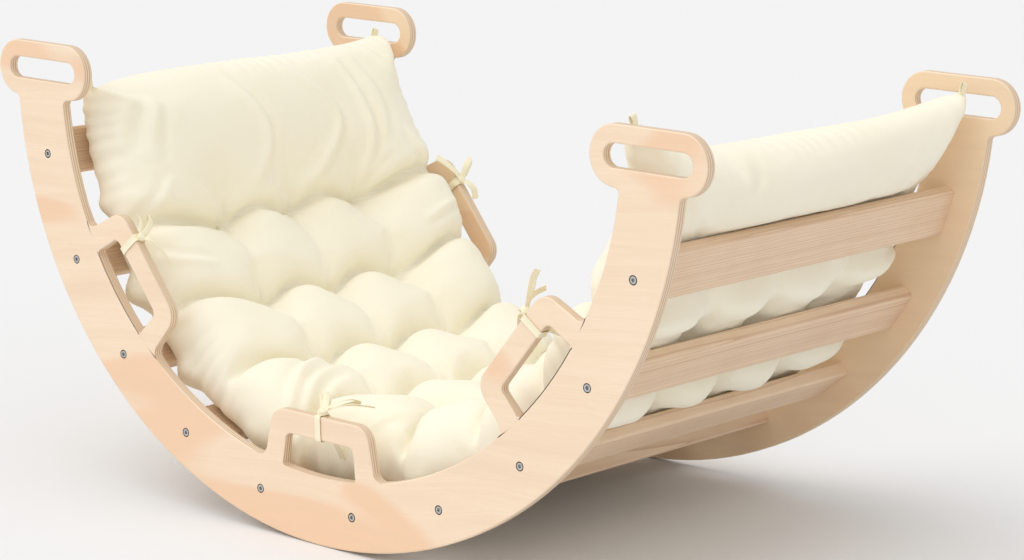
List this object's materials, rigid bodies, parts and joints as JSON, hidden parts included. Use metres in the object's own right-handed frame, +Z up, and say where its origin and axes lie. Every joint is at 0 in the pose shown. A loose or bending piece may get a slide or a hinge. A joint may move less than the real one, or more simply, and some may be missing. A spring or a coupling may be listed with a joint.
{
  "type": "arch rocker",
  "caption": "Wooden arch rocker and climbing arch: two plywood arch panels with end handles and grip loops, joined by slats, with a tied-in tufted cushion.",
  "frame": {"origin": "middle of the lowest line of the arch, on the floor", "axes": "+X along the arch, +Y from the front panel to the back panel, +Z up"},
  "size_m": [1.0636, 0.5688, 0.52],
  "materials": {
    "birch_plywood": "sanded, clear matt varnish",
    "pine": "planed and sanded, bare",
    "screw_steel": "zinc plated",
    "beech_dowel": "bare",
    "filling": "loose polyester fibre",
    "cotton_cloth": "plain weave cotton, matt",
    "thread": "waxed cotton thread",
    "tie_tape": "folded cotton tape"
  },
  "bodies": {
    "root": {"front_side_panel": "birch_plywood", "back_side_panel": "birch_plywood", "slat_1": "pine", "slat_2": "pine", "slat_3": "pine", "slat_4": "pine", "slat_5": "pine", "slat_6": "pine", "slat_7": "pine", "slat_8": "pine", "slat_9": "pine", "slat_10": "pine", "front_screws": "screw_steel", "back_screws": "screw_steel", "front_dowels": "beech_dowel", "back_dowels": "beech_dowel", "cushion_filling": "filling", "cushion_face_cloth": "cotton_cloth", "cushion_back_cloth": "cotton_cloth", "tuft_threads": "thread", "front_left_tie": "tie_tape", "front_middle_tie": "tie_tape", "front_right_tie": "tie_tape", "back_left_tie": "tie_tape", "back_middle_tie": "tie_tape", "back_right_tie": "tie_tape", "corner_tabs": "tie_tape"}
  },
  "joints": []
}
